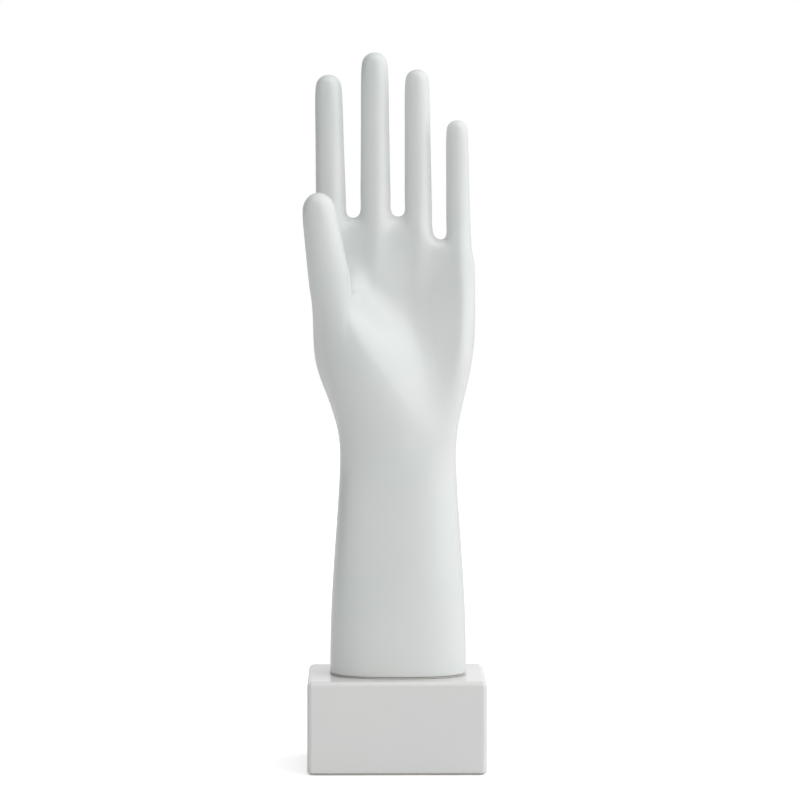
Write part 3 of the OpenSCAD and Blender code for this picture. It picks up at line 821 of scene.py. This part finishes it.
def turned(name, outline, sides=ROUND_SIDES, closed=True):
    """Turns (radius, height) rows round the upright axis; a closed outline comes back to its start."""
    nothing_selected()
    bpy.ops.mesh.primitive_circle_add(vertices=sides, radius=1)
    piece = start_piece(name)
    bpy.ops.object.mode_set(mode="EDIT")
    bpy.ops.mesh.select_mode(type="EDGE")
    bpy.ops.mesh.select_all(action="SELECT")
    radius, height = 1, 0
    for i, (new_radius, new_height) in enumerate([*outline, outline[0]] if closed else outline):
        if i:
            bpy.ops.mesh.extrude_region_move()
        share = new_radius / radius
        bpy.ops.transform.resize(value=(share, share, 1), center_override=(0, 0, 0))
        bpy.ops.transform.translate(value=(0, 0, new_height - height))
        radius, height = new_radius, new_height
    bpy.ops.mesh.select_all(action="SELECT")
    bpy.ops.mesh.remove_doubles(threshold=TINY / 10)
    bpy.ops.mesh.normals_make_consistent(inside=False)
    bpy.ops.object.mode_set(mode="OBJECT")
    return piece


def soft_ring(outer, inner, low, high, edge):
    """The outline of a ring whose four edges are rounded."""
    # Radius, height, which way outwards and upwards its arc's centre lies, and the arc's first angle
    corners = [
        (outer, low, -1, 1, 270),
        (outer, high, -1, -1, 0),
        (inner, high, 1, -1, 90),
        (inner, low, 1, 1, 180),
    ]
    rows = []
    for radius, height, outwards, upwards, start in corners:
        for i in range(SOFT_STEPS + 1):
            a = math.radians(start + 90 * i / SOFT_STEPS)
            rows.append((radius + edge * (outwards + math.cos(a)), height + edge * (upwards + math.sin(a))))
    return rows


def ring_sizes(node):
    """Outer radius, low and high of a round CAD node."""
    low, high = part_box(node)
    return (high.x - low.x) / 2, low.z, high.z


def make_ring(name, node, inner, edge, slot, material):
    outer, low, high = ring_sizes(node)
    piece = turned(name, soft_ring(outer, inner, low, high, edge))
    shade_crisply(piece)
    return finish_piece(piece, slot, material, node)


def make_gasket(material):
    """A thin silicone lip under the foot: its edge follows the foot's outline and bulges from the weight."""
    low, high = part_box("foot_gasket")
    foot = foot_ring(GASKET_INSET)
    nothing_selected()
    bpy.ops.mesh.primitive_circle_add(vertices=RING, radius=1)
    piece = start_piece("silicone_gasket")
    for vertex, point in zip(piece.data.vertices, foot):
        vertex.co = Vector((point.x * MM, point.y * MM, low.z))
    inner = (POUR_R + GASKET_HOLE_GAP) * MM
    # After the lower rim come the bulge, the upper rim and the two rims of the hole, each with its rise
    loops = [("bulge", 0.5), ("rim", 1), ("hole", 1), ("hole", 0)]
    bpy.ops.object.mode_set(mode="EDIT")
    bpy.ops.mesh.select_mode(type="EDGE")
    bpy.ops.mesh.select_all(action="SELECT")
    for _ in loops:
        bpy.ops.mesh.extrude_region_move()
    bpy.ops.object.mode_set(mode="OBJECT")
    for i, vertex in enumerate(piece.data.vertices):
        loop, j = divmod(i, RING)
        if loop == 0:
            continue
        kind, rise = loops[loop - 1]
        z = low.z + rise * (high.z - low.z)
        away = Vector((foot[j].x, foot[j].y)) * MM
        if kind == "hole":
            away = away.normalized() * inner
        elif kind == "bulge":
            away *= 1 + GASKET_BULGE * MM / away.length
        vertex.co = Vector((away.x, away.y, z))
    close_open_edges(piece, bpy.ops.mesh.bridge_edge_loops)
    apply_modifier(piece, "SUBSURF", levels=GASKET_SMOOTHING, render_levels=GASKET_SMOOTHING)
    shade_crisply(piece)
    return finish_piece(piece, "silicone", material, "foot_gasket")


def make_bush(material):
    """A turned nylon sleeve with a flange, chamfered where it enters the two pour holes."""
    low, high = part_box("centring_bush")
    flange_r = (high.x - low.x) / 2
    flange_top = low.z + BUSH_FLANGE
    sleeve_r = (POUR_R - BUSH_FIT) * MM
    bore = ROD_HOLE_R
    edge = BUSH_EDGE
    outline = [
        (bore, low.z + edge),
        (bore + edge, low.z),
        (flange_r - edge, low.z),
        (flange_r, low.z + edge),
        (flange_r, flange_top - edge),
        (flange_r - edge, flange_top),
        (sleeve_r, flange_top),
        (sleeve_r, high.z - 3 * edge),
        (sleeve_r - 2 * edge, high.z),
        (bore + edge, high.z),
        (bore, high.z - edge),
    ]
    piece = turned("nylon_bush", outline)
    shade_crisply(piece)
    return finish_piece(piece, "nylon", material, "centring_bush")


def make_nut(name, node, material):
    """A hexagon with its corners turned down at 30 degrees, bored and countersunk for the rod."""
    low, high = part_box(node)
    corner_r = (high.x - low.x) / 2
    flat_r = corner_r * math.cos(NUT_ANGLE)
    nothing_selected()
    bpy.ops.mesh.primitive_cylinder_add(
        vertices=6,
        radius=corner_r,
        depth=high.z - low.z,
        location=(0, 0, (low.z + high.z) / 2),
        rotation=(0, 0, NUT_ANGLE),
    )
    nut = start_piece(name)
    turn_down = (corner_r - flat_r) * math.tan(NUT_ANGLE)
    bore, mouth = NUT_BORE_R, NUT_MOUTH_R
    outline = [
        (bore, low.z + mouth - bore),
        (mouth, low.z),
        (flat_r, low.z),
        (corner_r + TINY, low.z + turn_down),
        (corner_r + TINY, high.z - turn_down),
        (flat_r, high.z),
        (mouth, high.z),
        (bore, high.z - mouth + bore),
    ]
    tool = turned("lathe", outline)
    apply_modifier(nut, "BOOLEAN", operation="INTERSECT", object=tool, solver="EXACT")
    bpy.data.objects.remove(tool)
    shade_crisply(nut)
    return finish_piece(nut, "zinc_steel", material, node)


def make_rod(material):
    """A threaded rod: the radius of a fine grid rises and falls along a helix, and each end is chamfered."""
    radius, low, high = ring_sizes("tie_rod")
    rows = round((high - low) / THREAD_PITCH * THREAD_STEPS)
    levels = [low + (high - low) * i / rows for i in range(rows + 1)]
    outline = [(radius * ROD_CORE, low), *[(radius, z) for z in levels], (radius * ROD_CORE, high)]
    rod = turned("threaded_rod", outline, sides=THREAD_SIDES, closed=False)
    for vertex in rod.data.vertices:
        place = vertex.co
        reach = math.hypot(place.x, place.y)
        turn = math.atan2(place.y, place.x) / (2 * math.pi)
        phase = ((place.z - low) / THREAD_PITCH - turn) % 1
        thread_r = radius - THREAD_DEPTH * abs(2 * phase - 1)
        end_r = radius - ROD_CHAMFER * THREAD_DEPTH + min(place.z - low, high - place.z)
        if reach > radius * ROD_SKIN:
            wanted = min(thread_r, end_r)
            place.x *= wanted / reach
            place.y *= wanted / reach
    close_open_edges(rod, bpy.ops.mesh.edge_face_add)
    shade_crisply(rod)
    return finish_piece(rod, "zinc_steel", material, "tie_rod")


def make_bar(material):
    """A flat bar with rounded corners and broken edges, drilled for the rod."""
    low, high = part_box("anchor_bar")
    bar = rounded_block("steel_bar", low, high, BAR_CORNER)
    drilled(bar, (0, 0, (low.z + high.z) / 2), ROD_HOLE_R, BAR_DRILL)
    soften_rims(bar, SOFT_EDGE)
    return finish_piece(bar, "zinc_steel", material, "anchor_bar")


def soften_rims(piece, edge):
    """Rounds the rims of a flat piece's upper and lower faces."""
    select_parts(piece, "FACE", lambda face: abs(face.normal.z) > FACING)
    bpy.ops.mesh.select_mode(type="EDGE")
    bpy.ops.mesh.region_to_loop()
    bpy.ops.mesh.bevel(offset=edge, segments=RIM_STEPS, affect="EDGES")
    bpy.ops.object.mode_set(mode="OBJECT")
    shade_crisply(piece)


def make_slab(name, node, corner, edge, slot, material):
    """A flat sheet cut to a rounded rectangle, with both of its rims softened."""
    low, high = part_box(node)
    slab = rounded_block(name, low, high, corner)
    soften_rims(slab, edge)
    return finish_piece(slab, slot, material, node)


# Materials
class Nodes:
    """The nodes of one material or node group, with short ways to add and join them."""

    def __init__(self, tree):
        self.tree = tree

    def add(self, kind, **settings):
        node = self.tree.nodes.new(kind)
        for key, value in settings.items():
            setattr(node, key, value)
        return node

    def join(self, source, target):
        self.tree.links.new(source, target)

    def set(self, socket, value):
        if hasattr(value, "is_output"):
            self.join(value, socket)
        else:
            socket.default_value = value

    def fill(self, node, values):
        """Gives each named input of a node its value, or joins it to another node's output."""
        for name, value in values.items():
            self.set(node.inputs[name], value)

    def math(self, operation, a, b, clamp=False):
        node = self.add("ShaderNodeMath", operation=operation, use_clamp=clamp)
        self.set(node.inputs[0], a)
        self.set(node.inputs[1], b)
        return node.outputs[0]

    def ramp(self, value, low, high, out_low=0.0, out_high=1.0):
        node = self.add("ShaderNodeMapRange", interpolation_type="SMOOTHSTEP")
        self.fill(node, {"Value": value, "From Min": low, "From Max": high})
        self.fill(node, {"To Min": out_low, "To Max": out_high})
        return node.outputs[0]

    def noise(self, vector, scale, detail=2.0, roughness=0.5):
        node = self.add("ShaderNodeTexNoise")
        self.fill(node, {"Vector": vector, "Scale": scale, "Detail": detail, "Roughness": roughness})
        return node.outputs["Fac"]

    def blend(self, factor, a, b):
        node = self.add("ShaderNodeMix", data_type="RGBA")
        self.fill(node, {"Factor": factor, "A": a, "B": b})
        return node.outputs["Result"]

    def bump(self, height, distance, strength):
        node = self.add("ShaderNodeBump")
        self.fill(node, {"Height": height, "Distance": distance, "Strength": strength})
        return node.outputs["Normal"]


def new_group(name, inputs, outputs):
    """A shader node group with named sockets; inputs and outputs are (name, socket kind, value) rows."""
    tree = bpy.data.node_groups.new(name, "ShaderNodeTree")
    for label, kind, value in inputs:
        socket = tree.interface.new_socket(name=label, in_out="INPUT", socket_type=kind)
        if value is not None:
            socket.default_value = value
    for label, kind in outputs:
        tree.interface.new_socket(name=label, in_out="OUTPUT", socket_type=kind)
    nodes = Nodes(tree)
    return tree, nodes, nodes.add("NodeGroupInput").outputs, nodes.add("NodeGroupOutput").inputs


def new_material(name):
    """A material with a Principled BSDF; returns it, its nodes, the shader and the object's coordinates."""
    material = bpy.data.materials.new(name)
    material.use_nodes = True
    nodes = Nodes(material.node_tree)
    shader = material.node_tree.nodes["Principled BSDF"]
    place = nodes.add("ShaderNodeTexCoord").outputs["Object"]
    return material, nodes, shader, place


# How much rougher bare clay is than glaze, and how high ripples and specks stand beside the glaze's pools
BARE_ROUGHER = 0.6
RIPPLE_RISE = 0.045
SPECK_RISE = 0.004
# How much rougher the palest zinc spangle is than the darkest
SPANGLE_DULL = 0.06
# A glaze: its colours where it is thin and thick, the size of its pools, and its roughness
HAND_GLAZE = [(0.73, 0.745, 0.735, 1), (0.70, 0.735, 0.722, 1), 0.05, 0.16]
PLINTH_GLAZE = [(0.745, 0.745, 0.735, 1), (0.725, 0.735, 0.725, 1), 0.06, 0.2]
# Colours
BARE_CLAY = (0.62, 0.585, 0.54, 1)
RUBBER_BLACK = (0.036, 0.036, 0.038, 1)
RUBBER_BLOOM = (0.062, 0.061, 0.06, 1)
SILICONE_CLEAR = (0.80, 0.81, 0.79, 1)
SILICONE_CLOUDY = (0.72, 0.73, 0.71, 1)
NYLON_PALE = (0.79, 0.77, 0.70, 1)
NYLON_WARM = (0.73, 0.71, 0.65, 1)
ZINC_DARK = (0.58, 0.6, 0.62, 1)
ZINC_BRIGHT = (0.68, 0.69, 0.69, 1)
ZINC_MARK = (0.42, 0.42, 0.41, 1)
BOARD_DARK = (0.29, 0.19, 0.11, 1)
BOARD_PALE = (0.45, 0.32, 0.2, 1)
BOARD_BURNISHED = (0.25, 0.16, 0.09, 1)
FELT_DARK = (0.60, 0.59, 0.56, 1)
FELT_PALE = (0.76, 0.75, 0.72, 1)


def glaze_group():
    """Fired glaze: tinted where it pools, a little rippled and specked, and bare clay at the foot."""
    tree, n, given, made = new_group(
        "fired_glaze",
        [
            ("Place", "NodeSocketVector", None),
            ("Thin Colour", "NodeSocketColor", (1, 1, 1, 1)),
            ("Thick Colour", "NodeSocketColor", (1, 1, 1, 1)),
            ("Pool Size", "NodeSocketFloat", 0.04),
            ("Gloss", "NodeSocketFloat", 0.15),
            ("Foot Height", "NodeSocketFloat", 0.0),
        ],
        [
            ("Colour", "NodeSocketColor"),
            ("Roughness", "NodeSocketFloat"),
            ("Height", "NodeSocketFloat"),
        ],
    )
    pools = n.noise(given["Place"], n.math("DIVIDE", 1.0, given["Pool Size"]), detail=3.0, roughness=0.45)
    ripple = n.noise(given["Place"], scale=420.0, roughness=0.4)
    specks = n.noise(given["Place"], scale=1500.0, detail=0.0, roughness=0.0)
    thick = n.ramp(pools, low=0.36, high=0.64)
    colour = n.blend(thick, given["Thin Colour"], given["Thick Colour"])
    height_z = n.add("ShaderNodeSeparateXYZ")
    n.join(given["Place"], height_z.inputs[0])
    above_foot = n.math("SUBTRACT", height_z.outputs["Z"], given["Foot Height"])
    bare = n.ramp(above_foot, low=0.0002, high=0.0007, out_low=1.0, out_high=0.0)
    colour = n.blend(bare, colour, BARE_CLAY)
    gloss = n.math("ADD", given["Gloss"], n.ramp(pools, low=0.3, high=0.7, out_low=0.035, out_high=-0.02))
    gloss = n.math("ADD", gloss, n.math("MULTIPLY", bare, BARE_ROUGHER), clamp=True)
    rise = n.math("ADD", pools, n.math("MULTIPLY", ripple, RIPPLE_RISE))
    rise = n.math("ADD", rise, n.math("MULTIPLY", specks, SPECK_RISE))
    n.join(colour, made["Colour"])
    n.join(gloss, made["Roughness"])
    n.join(rise, made["Height"])
    return tree


def glaze_material(name, group, look, foot):
    """A glaze of a given look on a piece whose foot stands at a height."""
    material, n, shader, place = new_material(name)
    thin, thick, pool, gloss = look
    glaze = n.add("ShaderNodeGroup", node_tree=group)
    n.fill(glaze, {"Place": place, "Thin Colour": thin, "Thick Colour": thick})
    n.fill(glaze, {"Pool Size": pool, "Gloss": gloss, "Foot Height": foot})
    n.fill(shader, {
        "Base Color": glaze.outputs["Colour"],
        "Roughness": glaze.outputs["Roughness"],
        "Normal": n.bump(glaze.outputs["Height"], distance=0.0006, strength=0.6),
        "IOR": 1.5,
    })
    return material


def rubber_material():
    """Black rubber: a matt, faintly grained skin with a dusty bloom."""
    material, n, shader, place = new_material("rubber")
    grain = n.noise(place, scale=2600.0, detail=3.0, roughness=0.6)
    bloom = n.noise(place, scale=180.0, detail=3.0, roughness=0.55)
    tint = n.ramp(bloom, low=0.35, high=0.75)
    n.fill(shader, {
        "Base Color": n.blend(tint, RUBBER_BLACK, RUBBER_BLOOM),
        "Roughness": n.ramp(bloom, low=0.3, high=0.7, out_low=0.62, out_high=0.8),
        "Normal": n.bump(grain, distance=0.00008, strength=0.7),
        "IOR": 1.52,
    })
    return material


def silicone_material():
    """Translucent white silicone, a little cloudy and satin."""
    material, n, shader, place = new_material("silicone")
    cloud = n.noise(place, scale=240.0, detail=3.0, roughness=0.55)
    n.fill(shader, {
        "Base Color": n.blend(cloud, SILICONE_CLEAR, SILICONE_CLOUDY),
        "Roughness": n.ramp(cloud, low=0.3, high=0.7, out_low=0.36, out_high=0.5),
        "Normal": n.bump(n.noise(place, scale=1800.0), distance=0.00005, strength=0.5),
        "Subsurface Weight": 0.3,
        "Subsurface Radius": (0.0015, 0.0015, 0.0014),
    })
    return material


def nylon_material():
    """Turned nylon: warm white, a little light in its depth, and the fine rings of the lathe tool."""
    material, n, shader, place = new_material("nylon")
    rings = n.add("ShaderNodeTexWave", wave_type="BANDS", bands_direction="Z")
    n.fill(rings, {"Vector": place, "Scale": 900.0, "Distortion": 1.5})
    cloud = n.noise(place, scale=120.0, detail=3.0)
    n.fill(shader, {
        "Base Color": n.blend(cloud, NYLON_PALE, NYLON_WARM),
        "Roughness": n.ramp(cloud, low=0.3, high=0.7, out_low=0.38, out_high=0.5),
        "Normal": n.bump(rings.outputs["Fac"], distance=0.00004, strength=0.5),
        "Subsurface Weight": 0.15,
        "Subsurface Radius": (0.002, 0.0017, 0.0013),
    })
    return material


def steel_material():
    """Zinc-plated steel: dull spangles, a few darker handling marks and a fine grain."""
    material, n, shader, place = new_material("zinc_steel")
    spangle = n.add("ShaderNodeTexVoronoi", feature="F1")
    n.fill(spangle, {"Vector": place, "Scale": 1400.0})
    tone = n.add("ShaderNodeSeparateColor")
    n.join(spangle.outputs["Color"], tone.inputs[0])
    marks = n.noise(place, scale=260.0, detail=4.0, roughness=0.6)
    plain = n.blend(tone.outputs[0], ZINC_DARK, ZINC_BRIGHT)
    marked = n.blend(n.ramp(marks, low=0.55, high=0.8), plain, ZINC_MARK)
    handled = n.ramp(marks, low=0.3, high=0.8, out_low=0.24, out_high=0.46)
    dull = n.math("MULTIPLY", tone.outputs[0], SPANGLE_DULL)
    n.fill(shader, {
        "Base Color": marked,
        "Roughness": n.math("ADD", handled, dull),
        "Normal": n.bump(n.noise(place, scale=3000.0), distance=0.00002, strength=0.6),
        "Metallic": 1.0,
    })
    return material


def board_material():
    """Pressed hardboard: short brown fibres, darker where the press burnished them."""
    material, n, shader, place = new_material("board")
    long_way = n.add("ShaderNodeMapping")
    n.fill(long_way, {"Vector": place, "Scale": (500.0, 1400.0, 1400.0)})
    fibres = n.noise(long_way.outputs["Vector"], scale=1.0, detail=5.0, roughness=0.65)
    blotch = n.noise(place, scale=90.0, detail=3.0)
    brown = n.blend(n.ramp(fibres, low=0.3, high=0.7), BOARD_DARK, BOARD_PALE)
    burnished = n.ramp(blotch, low=0.4, high=0.7, out_low=0.0, out_high=0.5)
    n.fill(shader, {
        "Base Color": n.blend(burnished, brown, BOARD_BURNISHED),
        "Roughness": n.ramp(blotch, low=0.3, high=0.7, out_low=0.78, out_high=0.6),
        "Normal": n.bump(fibres, distance=0.00012, strength=0.7),
    })
    return material


def felt_material():
    """Pressed wool felt: undyed fibres in a tangle, with a soft sheen from their loose ends."""
    material, n, shader, place = new_material("felt")
    swirl = n.add("ShaderNodeTexNoise", noise_dimensions="3D")
    n.fill(swirl, {"Vector": place, "Scale": 700.0, "Detail": 4.0, "Distortion": 2.5})
    strands = swirl.outputs["Fac"]
    n.fill(shader, {
        "Base Color": n.blend(n.ramp(strands, low=0.35, high=0.65), FELT_DARK, FELT_PALE),
        "Normal": n.bump(strands, distance=0.0003, strength=0.9),
        "Roughness": 0.95,
        "Sheen Weight": 0.35,
        "Sheen Roughness": 0.5,
    })
    return material


# Studio
CAMERA_PLACE = Vector((-0.0184, -2.0, 0.3313))
CAMERA_PITCH = math.radians(3.468)
CAMERA_YAW = math.radians(0.584)
CAMERA_LENS = 157.56
CAMERA_SENSOR = 36

# How bright the room is on its right, left, top, back and upper front:
# direction, outer and inner angle in degrees, and strength
ROOM_LOBES = [
    ((0.92, -0.25, 0.33), 75, 30, 1.15),
    ((-0.8, -0.6, 0.1), 45, 12, 0.75),
    ((0, 0, 1), 45, 20, 1.0),
    ((0, 1, 0.2), 60, 30, 0.4),
    ((-0.35, -0.6, 0.7), 40, 10, 0.15),
]
ROOM_BASE = 0.08
# The white backdrop that reflections see behind the object: direction, outer and inner angle
BACKDROP = ((0, 1, 0), 24, 14)
FLOOR_R = 3.0
FLOOR_WHITE = (0.8, 0.8, 0.8, 1)
FLOOR_ROUGHNESS = 0.6
FLOOR_GLOW = 0.5
SOFTBOX_PLACE = (1.15, -0.62, 0.9)
SOFTBOX_AIM = (0, 0, 0.3)
SOFTBOX_SIZE = (1.5, 1.8)
SOFTBOX_POWER = 5.6


def place_object(name, data):
    """Puts a camera or a light into the scene."""
    item = bpy.data.objects.new(name, data)
    bpy.context.scene.collection.objects.link(item)
    return item


def make_camera():
    data = bpy.data.cameras.new("camera")
    data.sensor_width = CAMERA_SENSOR
    data.lens = CAMERA_LENS
    camera = place_object("camera", data)
    forward = Vector((
        math.sin(CAMERA_YAW) * math.cos(CAMERA_PITCH),
        math.cos(CAMERA_YAW) * math.cos(CAMERA_PITCH),
        -math.sin(CAMERA_PITCH),
    ))
    camera.location = CAMERA_PLACE
    camera.rotation_euler = forward.to_track_quat("-Z", "Y").to_euler()
    bpy.context.scene.camera = camera


def area_light(name, place, aim, size, power):
    data = bpy.data.lights.new(name, "AREA")
    data.shape = "RECTANGLE"
    data.size, data.size_y = size
    data.energy = power
    light = place_object(name, data)
    light.location = place
    light.rotation_euler = (Vector(aim) - Vector(place)).to_track_quat("-Z", "Y").to_euler()


def make_world():
    """White to the camera and where the backdrop is reflected, else a soft room, brightest on the right."""
    world = bpy.data.worlds.new("studio")
    bpy.context.scene.world = world
    world.use_nodes = True
    n = Nodes(world.node_tree)
    background = world.node_tree.nodes["Background"]
    way = n.add("ShaderNodeTexCoord").outputs["Generated"]

    def lobe(direction, edge, heart):
        dot = n.add("ShaderNodeVectorMath", operation="DOT_PRODUCT")
        n.join(way, dot.inputs[0])
        dot.inputs[1].default_value = Vector(direction).normalized()
        return n.ramp(dot.outputs["Value"], math.cos(math.radians(edge)), math.cos(math.radians(heart)))

    room = ROOM_BASE
    for direction, edge, heart, strength in ROOM_LOBES:
        room = n.math("ADD", room, n.math("MULTIPLY", lobe(direction, edge, heart), strength))
    path = n.add("ShaderNodeLightPath")
    through = n.math("MAXIMUM", path.outputs["Is Glossy Ray"], path.outputs["Is Transmission Ray"])
    backdrop = n.math("MULTIPLY", through, lobe(*BACKDROP))
    seen = n.math("MAXIMUM", path.outputs["Is Camera Ray"], backdrop)
    level = n.math("ADD", n.math("MULTIPLY", room, n.math("SUBTRACT", 1.0, seen)), seen)
    n.join(level, background.inputs["Color"])


def make_floor():
    nothing_selected()
    bpy.ops.mesh.primitive_circle_add(vertices=ROUND_SIDES, radius=FLOOR_R, fill_type="NGON")
    floor = start_piece("floor")
    material, n, shader, _ = new_material("white_floor")
    path = n.add("ShaderNodeLightPath")
    n.fill(shader, {
        "Base Color": FLOOR_WHITE,
        "Roughness": FLOOR_ROUGHNESS,
        "Emission Color": (1, 1, 1, 1),
        "Emission Strength": n.math("MULTIPLY", path.outputs["Is Camera Ray"], FLOOR_GLOW),
    })
    floor.data.materials.append(material)


def make_studio():
    make_world()
    make_floor()
    area_light("right_softbox", SOFTBOX_PLACE, SOFTBOX_AIM, SOFTBOX_SIZE, SOFTBOX_POWER)


nothing_selected()
make_camera()
fired_glaze = glaze_group()
porcelain = glaze_material("glazed_porcelain", fired_glaze, HAND_GLAZE, HAND_LOW.z)
plinth_glaze = glaze_material("plinth_glaze", fired_glaze, PLINTH_GLAZE, PLINTH_LOW.z)
make_hand(porcelain)
make_plinth(plinth_glaze)
rubber = rubber_material()
steel = steel_material()
make_gasket(silicone_material())
make_bush(nylon_material())
make_ring("steel_clamp_washer", "clamp_washer", ROD_HOLE_R, WASHER_EDGE, "zinc_steel", steel)
make_nut("steel_clamp_nut", "clamp_nut", steel)
make_rod(steel)
make_ring("rubber_cushion", "cushion_ring", CUSHION_HOLE_R, CUSHION_EDGE, "rubber", rubber)
make_bar(steel)
make_ring("steel_anchor_washer", "anchor_washer", ROD_HOLE_R, WASHER_EDGE, "zinc_steel", steel)
make_nut("steel_anchor_nut", "anchor_nut", steel)
make_slab("hardboard_base", "base_board", PLINTH_EDGE, SOFT_EDGE, "board", board_material())
make_slab("felt_pad", "felt_base", PLINTH_EDGE, FELT_EDGE, "felt", felt_material())
make_studio()
bpy.context.scene.view_settings.view_transform = "Standard"
